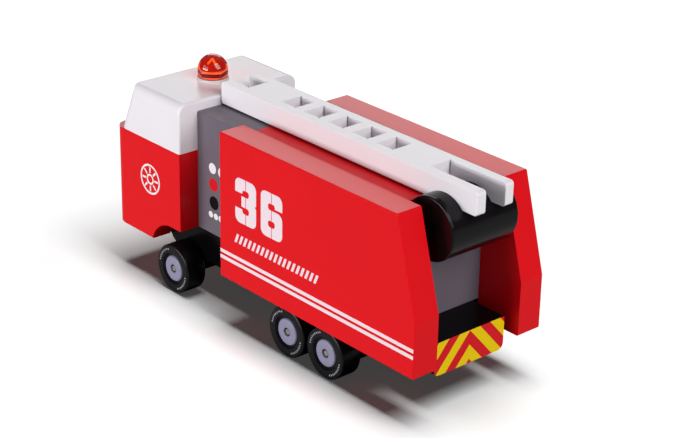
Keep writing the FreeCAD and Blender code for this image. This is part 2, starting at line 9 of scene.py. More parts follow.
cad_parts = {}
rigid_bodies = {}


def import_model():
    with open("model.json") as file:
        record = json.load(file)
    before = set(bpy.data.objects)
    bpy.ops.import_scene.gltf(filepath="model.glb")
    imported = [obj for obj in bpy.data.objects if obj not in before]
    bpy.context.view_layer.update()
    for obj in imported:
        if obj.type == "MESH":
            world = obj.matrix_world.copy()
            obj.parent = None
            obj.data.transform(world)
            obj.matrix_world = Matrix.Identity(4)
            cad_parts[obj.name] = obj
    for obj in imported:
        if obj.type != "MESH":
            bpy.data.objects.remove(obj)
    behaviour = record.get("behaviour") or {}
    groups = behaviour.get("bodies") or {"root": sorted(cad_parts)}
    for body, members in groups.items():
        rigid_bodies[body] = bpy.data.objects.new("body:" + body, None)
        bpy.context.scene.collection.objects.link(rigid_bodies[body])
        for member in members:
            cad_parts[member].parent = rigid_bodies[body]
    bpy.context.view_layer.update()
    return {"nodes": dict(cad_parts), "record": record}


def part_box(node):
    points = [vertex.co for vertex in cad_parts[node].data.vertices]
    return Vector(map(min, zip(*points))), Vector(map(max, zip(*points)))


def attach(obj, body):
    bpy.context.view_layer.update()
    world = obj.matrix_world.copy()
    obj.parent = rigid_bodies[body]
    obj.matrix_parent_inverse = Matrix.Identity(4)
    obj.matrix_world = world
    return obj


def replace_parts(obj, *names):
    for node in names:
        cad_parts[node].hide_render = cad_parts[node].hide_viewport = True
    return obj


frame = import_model()
MM = 0.001
UP = Vector((0, 0, 1))
CHASSIS = "chassis"
WHEELS = [(where, side) for where in ("front", "middle", "rear") for side in ("left", "right")]


# --- small makers -----------------------------------------------------------------------

def new_piece(name, mesh, material, body):
    """Show a mesh as a piece of the toy that rides on a body."""
    piece = bpy.data.objects.new(name, mesh)
    bpy.context.scene.collection.objects.link(piece)
    if not mesh.materials:
        mesh.materials.append(material)
    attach(piece, body)
    return piece


def round_corners(outline, steps=6):
    """Points of an outline whose rows are (across, up, corner radius)."""
    points = []
    count = len(outline)
    for i, (x, y, radius) in enumerate(outline):
        here = Vector((x, y))
        if radius <= 0:
            points.append(here)
            continue
        back = (Vector(outline[i - 1][:2]) - here).normalized()
        ahead = (Vector(outline[(i + 1) % count][:2]) - here).normalized()
        half = back.angle(ahead) / 2
        centre = here + (back + ahead).normalized() * radius / math.sin(half)
        start = here + back * radius / math.tan(half) - centre
        end = here + ahead * radius / math.tan(half) - centre
        first = math.atan2(start.y, start.x)
        sweep = (math.atan2(end.y, end.x) - first + math.pi) % (2 * math.pi) - math.pi
        for k in range(steps + 1):
            angle = first + sweep * k / steps
            points.append(centre + Vector((math.cos(angle), math.sin(angle))) * radius)
    return points


def slab(outlines, thickness):
    """Closed mesh of flat shapes, thickness high above the plane z = 0."""
    curve = bpy.data.curves.new("outline", "CURVE")
    curve.dimensions = "2D"
    curve.fill_mode = "BOTH"
    curve.extrude = thickness / 2
    for outline in outlines:
        spline = curve.splines.new("POLY")
        spline.points.add(len(outline) - 1)
        for point, place in zip(spline.points, outline):
            point.co = (place[0], place[1], 0, 1)
        spline.use_cyclic_u = True
    holder = bpy.data.objects.new("outline", curve)
    bpy.context.scene.collection.objects.link(holder)
    depsgraph = bpy.context.evaluated_depsgraph_get()
    mesh = bpy.data.meshes.new_from_object(holder.evaluated_get(depsgraph))
    bpy.data.objects.remove(holder)
    mesh.transform(Matrix.Translation((0, 0, thickness / 2)))
    return mesh


def onto(mesh, origin, across, up):
    """Stand a flat mesh on a face: across and up are the face's own directions."""
    out = across.cross(up)
    turn = Matrix((across, up, out)).transposed().to_4x4()
    mesh.transform(Matrix.Translation(origin) @ turn)
    return mesh


ROUND = 96  # sides of a turned piece
CRISP = math.radians(38)  # an edge that turns further than this isn't smoothed over


def lathe(name, profile, centre, axis, segments=ROUND):
    """Closed mesh turned about axis through centre; profile rows are (along, radius) in millimetres."""
    shell = bmesh.new()
    angles = [2 * math.pi * k / segments for k in range(segments)]
    rings = []
    for along, radius in profile:
        along, radius = along * MM, radius * MM
        if radius == 0:
            rings.append([shell.verts.new((0, 0, along))])
            continue
        rings.append([shell.verts.new((radius * math.cos(a), radius * math.sin(a), along)) for a in angles])
    hollow = profile[0][1] > 0
    ahead = rings[1:] + rings[:1] if hollow else rings[1:]
    for low, high in zip(rings, ahead):
        for k in range(segments):
            n = (k + 1) % segments
            if len(low) == 1:
                shell.faces.new((low[0], high[n], high[k]))
            elif len(high) == 1:
                shell.faces.new((low[k], low[n], high[0]))
            else:
                shell.faces.new((low[k], low[n], high[n], high[k]))
    bmesh.ops.recalc_face_normals(shell, faces=shell.faces)
    mesh = bpy.data.meshes.new(name)
    shell.to_mesh(mesh)
    shell.free()
    turn = UP.rotation_difference(axis).to_matrix().to_4x4()
    mesh.transform(Matrix.Translation(centre) @ turn)
    mesh.shade_smooth()
    mesh.set_sharp_from_angle(angle=CRISP)
    return mesh


# --- finishes ---------------------------------------------------------------------------

def spread(tree, value, start, end, low, high):
    """Map a value that runs from start to end onto low to high."""
    node = tree.nodes.new("ShaderNodeMapRange")
    for name, number in (("From Min", start), ("From Max", end), ("To Min", low), ("To Max", high)):
        node.inputs[name].default_value = number
    tree.links.new(value, node.inputs["Value"])
    return node.outputs["Result"]


class Finish:
    """A material under construction, on the piece's own Object coordinates."""

    def __init__(self, name):
        self.material = bpy.data.materials.new(name)
        self.material.use_nodes = True
        self.tree = self.material.node_tree
        self.surface = self.tree.nodes["Principled BSDF"]
        self.places = self.tree.nodes.new("ShaderNodeTexCoord").outputs["Object"]

    def set(self, **values):
        for name, value in values.items():
            self.surface.inputs[name.replace("_", " ")].default_value = value

    def stretch(self, scale):
        """Object coordinates scaled separately along X, Y and Z."""
        node = self.tree.nodes.new("ShaderNodeMapping")
        node.inputs["Scale"].default_value = scale
        self.tree.links.new(self.places, node.inputs["Vector"])
        return node.outputs["Vector"]

    def noise(self, vector, scale, detail):
        node = self.tree.nodes.new("ShaderNodeTexNoise")
        node.inputs["Scale"].default_value = scale
        node.inputs["Detail"].default_value = detail
        self.tree.links.new(vector, node.inputs["Vector"])
        return node.outputs["Fac"]

    def remap(self, value, low, high):
        """Spread a noise value of about 0.3 to 0.7 over low to high."""
        return spread(self.tree, value, 0.3, 0.7, low, high)

    def blend(self, value, colour_low, colour_high):
        node = self.tree.nodes.new("ShaderNodeMix")
        node.data_type = "RGBA"
        node.inputs["A"].default_value = (*colour_low, 1)
        node.inputs["B"].default_value = (*colour_high, 1)
        self.tree.links.new(value, node.inputs["Factor"])
        return node.outputs["Result"]

    def bump(self, height, depth, before=None):
        """Bump of the given depth in millimetres, after an earlier bump if there is one."""
        node = self.tree.nodes.new("ShaderNodeBump")
        node.inputs["Distance"].default_value = depth * MM
        self.tree.links.new(height, node.inputs["Height"])
        if before:
            self.tree.links.new(before, node.inputs["Normal"])
        return node.outputs["Normal"]

    def feed(self, name, output):
        self.tree.links.new(output, self.surface.inputs[name])


def shade(colour, factor):
    return tuple(c * factor for c in colour)


def sprayed_paint(name, colour, roughness, shine):
    """Sprayed enamel on sanded beech: fine spray texture over a faint long grain."""
    paint = Finish(name)
    grain = paint.noise(paint.stretch((45, 700, 700)), 1.0, 3.0)
    spray = paint.noise(paint.places, 1500, 2.0)
    cloud = paint.noise(paint.places, 28, 2.0)
    paint.feed("Base Color", paint.blend(paint.remap(cloud, 0, 1), shade(colour, 0.965), colour))
    paint.feed("Roughness", paint.remap(spray, roughness - 0.02, roughness + 0.02))
    paint.feed("Normal", paint.bump(spray, 0.004, paint.bump(grain, 0.012)))
    paint.set(Specular_IOR_Level=shine)
    return paint.material


def printed_ink(name, colour):
    """Screen-printed ink: nearly flat, with a fine mesh of pinholes."""
    ink = Finish(name)
    screen = ink.noise(ink.places, 2600, 1.0)
    ink.feed("Base Color", ink.blend(ink.remap(screen, 0, 1), shade(colour, 0.95), colour))
    ink.feed("Normal", ink.bump(screen, 0.006))
    ink.set(Roughness=0.42, Specular_IOR_Level=0.06)
    return ink.material


def moulded_rubber(name, colour):
    """Matt rubber with a fine skin and a little dust."""
    rubber = Finish(name)
    skin = rubber.noise(rubber.places, 2200, 3.0)
    dust = rubber.noise(rubber.places, 160, 3.0)
    rubber.feed("Base Color", rubber.blend(rubber.remap(dust, 0, 1), colour, shade(colour, 1.7)))
    rubber.feed("Roughness", rubber.remap(dust, 0.24, 0.34))
    rubber.feed("Normal", rubber.bump(skin, 0.015))
    rubber.set(Specular_IOR_Level=0.2)
    return rubber.material


def tint_shadow(finish, colour):
    """Let tinted light through in the shadow of a clear moulding."""
    tree = finish.tree
    through = tree.nodes.new("ShaderNodeBsdfTransparent")
    through.inputs["Color"].default_value = (*colour, 1)
    path = tree.nodes.new("ShaderNodeLightPath")
    either = tree.nodes.new("ShaderNodeMixShader")
    tree.links.new(path.outputs["Is Shadow Ray"], either.inputs["Fac"])
    tree.links.new(finish.surface.outputs["BSDF"], either.inputs[1])
    tree.links.new(through.outputs["BSDF"], either.inputs[2])
    tree.links.new(either.outputs["Shader"], tree.nodes["Material Output"].inputs["Surface"])


def moulded_plastic(name, colour, roughness, shadow_tint=None, shine=0.5):
    """Moulded plastic with a fine skin; a tinted shadow lets light through it."""
    plastic = Finish(name)
    skin = plastic.noise(plastic.places, 1800, 2.0)
    cloud = plastic.noise(plastic.places, 200, 2.0)
    plastic.feed("Base Color", plastic.blend(plastic.remap(cloud, 0, 1), shade(colour, 0.95), colour))
    plastic.feed("Normal", plastic.bump(skin, 0.01))
    plastic.set(Roughness=roughness, Specular_IOR_Level=shine)
    if shadow_tint:
        tint_shadow(plastic, shadow_tint)
    return plastic.material


def turned_steel(name, colour):
    """Bare metal with fine turning marks round the axle."""
    steel = Finish(name)
    scratches = steel.noise(steel.stretch((900, 60, 900)), 1.0, 3.0)
    steel.feed("Roughness", steel.remap(scratches, 0.22, 0.38))
    steel.feed("Normal", steel.bump(scratches, 0.008))
    steel.set(Metallic=1.0, Base_Color=(*colour, 1))
    return steel.material


def clear_plastic(name, colour, roughness, shadow_tint):
    """See-through plastic with faint flow marks."""
    clear = Finish(name)
    flow = clear.noise(clear.places, 420, 2.0)
    clear.feed("Normal", clear.bump(flow, 0.01))
    clear.set(Base_Color=(*colour, 1), Roughness=roughness, IOR=1.46, Transmission_Weight=1.0)
    tint_shadow(clear, shadow_tint)
    return clear.material


red_paint = sprayed_paint("red_paint", (0.76, 0.004, 0.009), 0.30, 0.14)
white_paint = sprayed_paint("white_paint", (0.84, 0.805, 0.85), 0.24, 0.14)
grey_paint = sprayed_paint("grey_paint", (0.156, 0.132, 0.164), 0.24, 0.14)
black_paint = sprayed_paint("black_paint", (0.0022, 0.0018, 0.0022), 0.20, 0.09)
drum_paint = sprayed_paint("drum_paint", (0.004, 0.003, 0.004), 0.20, 0.21)
tyre_rubber = moulded_rubber("tyre_rubber", (0.0035, 0.0032, 0.0042))
hub_plastic = moulded_plastic("hub_plastic", (0.27, 0.262, 0.385), 0.35)
LAMP_SHADOW = (1.0, 0.55, 0.5)  # light that comes through the lamp's plastics
CAST_IN = 0.04  # shine left on a piece that is cast into the lens
orange_plastic = moulded_plastic("orange_plastic", (0.95, 0.16, 0.02), 0.2, LAMP_SHADOW, CAST_IN)
maroon_plastic = moulded_plastic("maroon_plastic", (0.10, 0.0, 0.001), 0.25, LAMP_SHADOW, CAST_IN)
lamp_plastic = moulded_plastic("lamp_plastic", (0.29, 0.008, 0.0004), 0.4, LAMP_SHADOW, CAST_IN)
steel = turned_steel("steel", (0.62, 0.61, 0.55))
# Near-black steel for the drum's pin and the rings in the hubs' counterbores: painted shade, so these parts
# read as the dark of the gaps and recesses they sit in.
shade_black_steel = turned_steel("shade_black_steel", (0.012, 0.011, 0.012))
lens_plastic = clear_plastic("red_clear_plastic", (0.88, 0.52, 0.58), 0.02, (0.95, 0.6, 0.56))
collar_plastic = moulded_plastic("clear_plastic", (0.62, 0.55, 0.56), 0.12, (0.9, 0.8, 0.8))
pale_ink = printed_ink("pale_ink", (0.88, 0.74, 0.80))
white_ink = printed_ink("white_ink", (0.86, 0.84, 0.86))
red_ink = printed_ink("red_ink", (0.68, 0.012, 0.02))
yellow_ink = printed_ink("yellow_ink", (0.85, 0.60, 0.004))
dash_ink = printed_ink("dash_ink", (0.55, 0.54, 0.60))
black_ink = printed_ink("black_ink", (0.006, 0.006, 0.007))

SLOT_FINISH = {
    "red_paint": red_paint, "white_paint": white_paint, "grey_paint": grey_paint,
    "black_paint": black_paint, "tyre_rubber": tyre_rubber, "hub_plastic": hub_plastic,
    "steel": steel, "red_clear_plastic": lens_plastic, "orange_plastic": orange_plastic,
    "clear_plastic": collar_plastic,
}
for row in frame["record"]["subparts"]:
    node = frame["nodes"][row["node"]]
    node.data.materials.clear()
    node.data.materials.append(SLOT_FINISH[row["material_slot"]])
# The drum's pin takes this black so that it sinks into the shade of the gap at the drum's end: painted
# shade.
frame["nodes"]["pivot_pin"].data.materials[0] = shade_black_steel
frame["nodes"]["drum"].data.materials[0] = drum_paint


# --- wheels -----------------------------------------------------------------------------

TYRE_PROFILE = [  # (along the axle from the outer face, radius), in millimetres
    (1.3, 6.0), (1.3, 6.75), (1.1, 6.95), (0.25, 7.35), (0.05, 7.5), (0.0, 7.7), (0.0, 10.3), (0.03, 10.6),
    (0.12, 10.95), (0.3, 11.23), (0.55, 11.42), (0.9, 11.5), (9.3, 11.5), (9.65, 11.42),
    (9.9, 11.23), (10.08, 10.95), (10.17, 10.6), (10.2, 10.2), (10.2, 6.0),
]
HUB_PROFILE = [  # as for the tyre
    (2.0, 1.25), (2.0, 2.0), (0.15, 2.0), (0.03, 2.05), (0.0, 2.15), (0.0, 5.35), (0.06, 5.6),
    (0.3, 5.85), (0.6, 6.0), (9.85, 6.0), (9.85, 2.9), (10.75, 2.9), (10.75, 1.25),
]
# Ring that fills the floor of the hub's counterbore in black: painted shade in the recess round the rod's
# end.
RECESS_SHADE_PROFILE = [(1.95, 1.27), (1.0, 1.27), (0.9, 1.35), (0.9, 1.9), (1.0, 1.98), (1.95, 1.98)]


def wheel_face(node, side):
    """Middle of the outer face of a wheel's tyre or hub, and the way out from it along Y."""
    low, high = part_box(node)
    out = 1 if side == "left" else -1
    face = high.y if side == "left" else low.y
    return Vector(((low.x + high.x) / 2, face, (low.z + high.z) / 2)), out


def turned_in(name, node, side, profile):
    """Mesh turned about the axle, with its profile measured inwards from a node's outer face."""
    centre, out = wheel_face(node, side)
    return lathe(name, profile, centre, Vector((0, -out, 0)))


def wheel_piece(kind, where, side, profile, material):
    """Replace a wheel's plain solid by a finer one turned to the same size."""
    node = f"{kind}_{where}_{side}"
    mesh = turned_in(f"{node}_turned", node, side, profile)
    piece = new_piece(f"{node}_turned", mesh, material, f"{where}_wheels")
    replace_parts(piece, node)


def recess_shade_ring(where, side):
    """Black ring in the hub's counterbore, round the rod's end: painted shade that darkens the recess."""
    name = f"washer_{where}_{side}"
    mesh = turned_in(name, f"hub_{where}_{side}", side, RECESS_SHADE_PROFILE)
    new_piece(name, mesh, shade_black_steel, f"{where}_wheels")


for where, side in WHEELS:
    wheel_piece("tyre", where, side, TYRE_PROFILE, tyre_rubber)
    wheel_piece("hub", where, side, HUB_PROFILE, hub_plastic)
    recess_shade_ring(where, side)


# --- beacon -----------------------------------------------------------------------------

DOME_STEPS = 20
SQUARE = 4  # sides of the two rings that show a straight front
LAMP_RINGS = [  # foot, top, radius (to the corners where square), sides, finish
    ("foot", 0.0, 0.45, 4.4, ROUND, orange_plastic),
    ("band", 0.45, 2.35, 5.4, SQUARE, maroon_plastic),
    ("bar", 2.35, 3.2, 5.6, SQUARE, orange_plastic),
]
BULB_PROFILE = [(3.2, 0.0), (3.2, 4.15), (5.0, 4.1), (6.1, 3.7), (6.9, 2.9), (7.35, 1.7), (7.5, 0.0)]
# The V of wires is a painted highlight: the bright V that the lens shows towards the rear left, set as
# orange wires on that side only.
GLINT_TURN = math.radians(135)  # towards the rear left corner
GLINT_TOP, GLINT_FOOT = (1.0, 7.5), (3.5, 6.6)  # out from the middle, up from the collar
GLINT_SPREAD, GLINT_WIRE, WIRE_SIDES = 1.5, 0.5, 12  # half the gap at the foot, radius, sides


def beacon_foot():
    """Middle of the lens's foot, on the collar."""
    low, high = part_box("beacon_lens")
    return Vector(((low.x + high.x) / 2, (low.y + high.y) / 2, low.z))


def beacon_piece(name, profile, material, sides=ROUND):
    """Turned piece standing on the beacon's collar."""
    return new_piece(name, lathe(name, profile, beacon_foot(), UP, sides), material, CHASSIS)


def painted_glint_wires():
    """Pair of orange wires that meet over the bulb's rear left corner: a painted highlight, the bright V
    that the lamp shows through the lens, set on that side only.
    """
    wires = bmesh.new()
    turn = Matrix.Rotation(GLINT_TURN, 3, "Z")
    for aside in (GLINT_SPREAD, -GLINT_SPREAD):
        top = turn @ Vector((GLINT_TOP[0], 0, GLINT_TOP[1]))
        foot = turn @ Vector((GLINT_FOOT[0], aside, GLINT_FOOT[1]))
        long = (foot - top).length
        rows = [(0, 0), (0, GLINT_WIRE), (long, GLINT_WIRE), (long, 0)]
        wires.from_mesh(lathe("wire", rows, beacon_foot() + top * MM, (foot - top).normalized(), WIRE_SIDES))
    mesh = bpy.data.meshes.new("beacon_painted_glint")
    wires.to_mesh(mesh)
    wires.free()
    return new_piece("beacon_painted_glint", mesh, orange_plastic, CHASSIS)


def dress_beacon():
    """Solid lens cast round a ringed lamp."""
    low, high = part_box("beacon_lens")
    radius = (high.x - low.x) / 2 / MM
    skirt = (high.z - low.z) / MM - radius
    dome = [(skirt + radius * math.sin(a), radius * math.cos(a))
            for a in (math.pi / 2 * k / DOME_STEPS for k in range(DOME_STEPS))]
    for name, foot, top, wide, sides, finish in LAMP_RINGS:
        rows = [(foot, 0), (foot, wide), (top, wide), (top, 0)]
        beacon_piece(f"beacon_{name}", rows, finish, sides)
    bulb = beacon_piece("beacon_bulb", BULB_PROFILE, lamp_plastic)
    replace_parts(bulb, "beacon_lamp")
    rows = [(0, 0), (0, radius)] + dome + [(skirt + radius, 0)]
    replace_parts(beacon_piece("beacon_cast", rows, lens_plastic), "beacon_lens")
    # Orange wires that paint the lamp's highlight on the rear left side.
    painted_glint_wires()


dress_beacon()


# --- printed markings -------------------------------------------------------------------

INK = 0.03 * MM  # thickness of a print
DIGIT_HIGH, DIGIT_WIDE, STROKE = 20.4, 14.0, 4.8
HOOK = 6.6  # length of a stroke's turned-down end
CORNER, INNER_CORNER, NIB = 3.0, 1.2, 0.3  # radii of the outer corners, inner corners and stroke ends
BRIDGE = 0.2  # half the gap that a stencil's bridge leaves
NOTCH = 0.8  # depth of the notch at the waist of the three


def mirrored(outline, height):
    """The outline turned upside down about half the given height."""
    return [(x, height - y, radius) for x, y, radius in reversed(outline)]


def digit_outlines():
    """Stencil digits three and six, each as its separate islands."""
    w, h, t = DIGIT_WIDE, DIGIT_HIGH, STROKE
    left, right = w / 2 - BRIDGE, w / 2 + BRIDGE
    low, high = (h - t) / 2, (h + t) / 2
    inner = INNER_CORNER
    hook = [(left, h, 0), (0, h, CORNER), (0, h - HOOK, NIB), (t, h - HOOK, NIB), (t, h - t, inner),
            (left, h - t, 0)]
    stub = [(w * 0.3, high, NIB), (w * 0.3, low, NIB), (left, low, 0), (left, high, 0)]
    back = [(right, h, 0), (right, h - t, 0), (w - t, h - t, inner), (w - t, high, inner), (right, high, 0),
            (right, low, 0), (w - t, low, inner), (w - t, t, inner), (right, t, 0), (right, 0, 0),
            (w, 0, CORNER), (w, h / 2 - NOTCH, 0), (w - NOTCH, h / 2, 0), (w, h / 2 + NOTCH, 0),
            (w, h, CORNER)]
    three = [hook, stub, mirrored(hook, h), back]
    spine = [(left, h, 0), (0, h, CORNER), (0, 0, CORNER), (left, 0, 0), (left, t, 0), (t, t, inner),
             (t, low, inner), (left, low, 0), (left, high, 0), (t, high, inner), (t, h - t, inner),
             (left, h - t, 0)]
    tip = [(w - x, y, radius) for x, y, radius in reversed(hook)]
    bowl = [(right, high, 0), (right, low, 0), (w - t, low, inner), (w - t, t, inner), (right, t, 0),
            (right, 0, 0), (w, 0, CORNER), (w, high, CORNER)]
    six = [spine, tip, bowl]
    return three, six


def flat_print(name, outlines, ink, origin, across):
    """Ink shapes in millimetres laid on an upright face at origin."""
    rows = [[point * MM for point in round_corners(outline)] for outline in outlines]
    mesh = onto(slab(rows, INK), origin, across, UP)
    return new_piece(name, mesh, ink, CHASSIS)


def disc(x, y, radius, steps):
    return [(x + radius * math.cos(a), y + radius * math.sin(a), 0)
            for a in (2 * math.pi * k / steps for k in range(steps))]


def bar(x, y, wide, high):
    return [(x, y, 0), (x + wide, y, 0), (x + wide, y + high, 0), (x, y + high, 0)]


SIDES = {  # the way out along Y, and the way that the side reads from the outside
    "left": (1, Vector((-1, 0, 0))),
    "right": (-1, Vector((1, 0, 0))),
}
panel_low, panel_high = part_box("side_panel_left")
PANEL_LONG = (panel_high.x - panel_low.x) / MM
_, pump_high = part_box("pump_block")

STRIPES = [(9.0, 1.63), (11.85, 1.63)]  # height above the panel's foot, width
STRIPE_INSET = 0.35  # where a stripe stops short of the panel's ends
NUMBER_IN, NUMBER_UP, DIGIT_GAP = 10.9, 30.1, 3.1  # from the panel's front edge and foot
TICKS_IN, TICKS_UP = 11.1, 19.9  # likewise
TICKS_LONG, TICKS_HIGH = 53.3, 4.2  # the whole row

GAUGE_STEPS = 40
GAUGE_INKS = {
    "white": (white_ink, "white_paint"), "red": (red_ink, "red_paint"), "black": (black_ink, "black_paint"),
}
GAUGES = [  # (behind the cab, height above the floor, radius, ink)
    (10.5, 63.0, 2.5, "white"), (17.0, 62.7, 2.5, "white"),
    (11.1, 55.3, 3.1, "red"), (11.4, 46.7, 3.2, "black"),
    (9.0, 40.6, 1.5, "white"), (12.6, 40.5, 1.5, "white"), (16.0, 40.5, 1.5, "white"),
]


def side_print_place(side, in_from_front, up_from_foot, width):
    """Where a mark on the panel starts, the same way in from the front on both sides."""
    sign, _ = SIDES[side]
    start = panel_high.x - in_from_front * MM
    if side == "right":
        start -= width * MM
    return Vector((start, panel_high.y * sign, panel_low.z + up_from_foot * MM))


def stripes(side, across):
    place = side_print_place(side, 0, 0, PANEL_LONG)
    bars = [bar(STRIPE_INSET, up, PANEL_LONG - 2 * STRIPE_INSET, wide) for up, wide in STRIPES]
    flat_print(f"stripes_{side}", bars, pale_ink, place, across)


def number(side, across):
    three, six = digit_outlines()
    shifted = [[(x + DIGIT_WIDE + DIGIT_GAP, y, radius) for x, y, radius in island] for island in six]
    place = side_print_place(side, NUMBER_IN, NUMBER_UP, 2 * DIGIT_WIDE + DIGIT_GAP)
    flat_print(f"number_{side}", three + shifted, pale_ink, place, across)


def gauges(side, sign, across):
    """Plain dots on the pump block, at the same places on both sides."""
    origin = Vector((pump_high.x, pump_high.y * sign, 0))
    for colour, (ink, slot) in GAUGE_INKS.items():
        discs = [disc(x, up, radius, GAUGE_STEPS) for x, up, radius, word in GAUGES if word == colour]
        if side == "right":
            discs = [[(-x, y, r) for x, y, r in reversed(shape)] for shape in discs]
        flat_print(f"gauges_{colour}_{side}", discs, ink, origin, across)


for side, (sign, across) in SIDES.items():
    stripes(side, across)
    number(side, across)
    gauges(side, sign, across)


# --- rows and rings made by Geometry Nodes ----------------------------------------------

class Rule:
    """A Geometry Nodes tree under construction, with named inputs."""

    KINDS = {"count": "NodeSocketInt", "length": "NodeSocketFloat", "finish": "NodeSocketMaterial"}

    def __init__(self, name, **inputs):
        self.tree = bpy.data.node_groups.new(name, "GeometryNodeTree")
        self.ids = {}
        for label, kind in inputs.items():
            socket = self.tree.interface.new_socket(label, in_out="INPUT", socket_type=self.KINDS[kind])
            self.ids[label] = socket.identifier
        self.tree.interface.new_socket("Geometry", in_out="OUTPUT", socket_type="NodeSocketGeometry")
        self.entry = self.tree.nodes.new("NodeGroupInput")
        self.exit = self.tree.nodes.new("NodeGroupOutput")

    def given(self, label):
        """One of the tree's own inputs."""
        return self.entry.outputs[label]

    def node(self, kind, settings=None, **links):
        """Add a node; each link, by a socket's name or as i0, i1, is a socket to join or a value to set."""
        made = self.tree.nodes.new(kind)
        for name, value in (settings or {}).items():
            setattr(made, name, value)
        for name, source in links.items():
            socket = made.inputs[int(name[1:]) if name[1:].isdigit() else name]
            if isinstance(source, bpy.types.NodeSocket):
                self.tree.links.new(source, socket)
            else:
                socket.default_value = source
        return made

    def maths(self, operation, a, b):
        return self.node("ShaderNodeMath", {"operation": operation}, i0=a, i1=b).outputs[0]

    def vector(self, x=0.0, y=0.0, z=0.0):
        return self.node("ShaderNodeCombineXYZ", X=x, Y=y, Z=z).outputs[0]

    def end(self, geometry, finish):
        """Turn instances into mesh, give them their finish and close the tree."""
        solid = self.node("GeometryNodeRealizeInstances", Geometry=geometry)
        dressed = self.node("GeometryNodeSetMaterial", Geometry=solid.outputs[0], Material=finish)
        self.tree.links.new(dressed.outputs[0], self.exit.inputs[0])

    def make(self, name, **values):
        """Run the tree once and return its result as a plain mesh."""
        holder = bpy.data.objects.new(name, bpy.data.meshes.new(name))
        bpy.context.scene.collection.objects.link(holder)
        modifier = holder.modifiers.new(name, "NODES")
        modifier.node_group = self.tree
        for label, value in values.items():
            modifier[self.ids[label]] = value
        depsgraph = bpy.context.evaluated_depsgraph_get()
        mesh = bpy.data.meshes.new_from_object(holder.evaluated_get(depsgraph))
        bpy.data.objects.remove(holder)
        return mesh


def tick_rule():
    """A row of upright bars, all leaning the same way."""
    rule = Rule("leaning_ticks", Count="count", Pitch="length", Width="length", Height="length",
                Lean="length", Thickness="length", Finish="finish")
    size = rule.vector(rule.given("Width"), rule.given("Height"), rule.given("Thickness"))
    block = rule.node("GeometryNodeMeshCube", Size=size)
    split = rule.node("ShaderNodeSeparateXYZ", Vector=rule.node("GeometryNodeInputPosition").outputs[0])
    lean = rule.vector(rule.maths("MULTIPLY", split.outputs["Y"], rule.given("Lean")))
    leaning = rule.node("GeometryNodeSetPosition", Geometry=block.outputs["Mesh"], Offset=lean)
    pitch = rule.vector(rule.given("Pitch"))
    row = rule.node("GeometryNodeMeshLine", Count=rule.given("Count"), Offset=pitch)
    put = rule.node("GeometryNodeInstanceOnPoints", Points=row.outputs[0], Instance=leaning.outputs[0])
    rule.end(put.outputs[0], rule.given("Finish"))
    return rule


def spoke_rule():
    """Equal bars laid out like spokes round a centre, a step of angle apart."""
    rule = Rule("spokes", Count="count", Step="length", Radius="length", Length="length", Width="length",
                Thickness="length", Finish="finish")
    size = rule.vector(rule.given("Length"), rule.given("Width"), rule.given("Thickness"))
    block = rule.node("GeometryNodeMeshCube", Size=size)
    moved = rule.node("GeometryNodeTransform", Geometry=block.outputs["Mesh"],
                      Translation=rule.vector(rule.given("Radius")))
    points = rule.node("GeometryNodeMeshLine", Count=rule.given("Count"), Offset=(0.0, 0.0, 0.0))
    turn = rule.maths("MULTIPLY", rule.node("GeometryNodeInputIndex").outputs[0], rule.given("Step"))
    put = rule.node("GeometryNodeInstanceOnPoints", Points=points.outputs[0], Instance=moved.outputs[0],
                    Rotation=rule.vector(z=turn))
    rule.end(put.outputs[0], rule.given("Finish"))
    return rule


TICK_ROW, SPOKES = tick_rule(), spoke_rule()
TICK_COUNT, TICK_WIDE, TICK_LEAN = 19, 1.5, 0.42  # the lean is how far across for each step up
BADGE_IN, BADGE_UP = 22.15, 29.1  # from the cab's rear face and foot
BADGE_RADIUS, BADGE_RING, BADGE_HUB = 7.2, 0.9, 2.6
RIM_STEPS, HUB_STEPS = 64, 48
SPOKE_COUNT, SPOKE_WIDE, SPOKE_GAP = 8, 0.9, 0.5  # the gap is left at both ends of a spoke
DASH_ARCS = (1.9, 5.1)  # where the two arcs of dashes start round the tyre, in radians
DASH_COUNT, DASH_STEP, DASH_RADIUS = 9, 0.13, 9.35  # the step in radians
DASH_HIGH, DASH_WIDE = 0.75, 0.42
cab_low, cab_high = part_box("cab_lower")


def ticks(side, across):
    """Leaning ticks under the number."""
    pitch = (TICKS_LONG - TICK_WIDE) / (TICK_COUNT - 1)
    mesh = TICK_ROW.make("ticks", Count=TICK_COUNT, Pitch=pitch * MM, Width=TICK_WIDE * MM,
                         Height=TICKS_HIGH * MM, Lean=TICK_LEAN, Thickness=INK, Finish=pale_ink)
    mesh.transform(Matrix.Translation((TICK_WIDE / 2 * MM, TICKS_HIGH / 2 * MM, INK / 2)))
    place = side_print_place(side, TICKS_IN, TICKS_UP, TICKS_LONG)
    new_piece(f"ticks_{side}", onto(mesh, place, across, UP), pale_ink, CHASSIS)


def badge(side, sign, across):
    """Plain wheel of two rings and eight spokes on the cab."""
    centre = Vector((cab_low.x + BADGE_IN * MM, cab_high.y * sign, cab_low.z + BADGE_UP * MM))
    rings = [disc(0, 0, BADGE_RADIUS, RIM_STEPS), disc(0, 0, BADGE_RADIUS - BADGE_RING, RIM_STEPS),
             disc(0, 0, BADGE_HUB, HUB_STEPS), disc(0, 0, BADGE_HUB - BADGE_RING, HUB_STEPS)]
    flat_print(f"badge_rings_{side}", rings, white_ink, centre, across)
    long = BADGE_RADIUS - BADGE_RING - BADGE_HUB - 2 * SPOKE_GAP
    middle = BADGE_HUB + SPOKE_GAP + long / 2
    mesh = SPOKES.make("spokes", Count=SPOKE_COUNT, Step=2 * math.pi / SPOKE_COUNT, Radius=middle * MM,
                       Length=long * MM, Width=SPOKE_WIDE * MM, Thickness=INK, Finish=white_ink)
    mesh.transform(Matrix.Translation((0, 0, INK / 2)))
    new_piece(f"badge_spokes_{side}", onto(mesh, centre, across, UP), white_ink, CHASSIS)


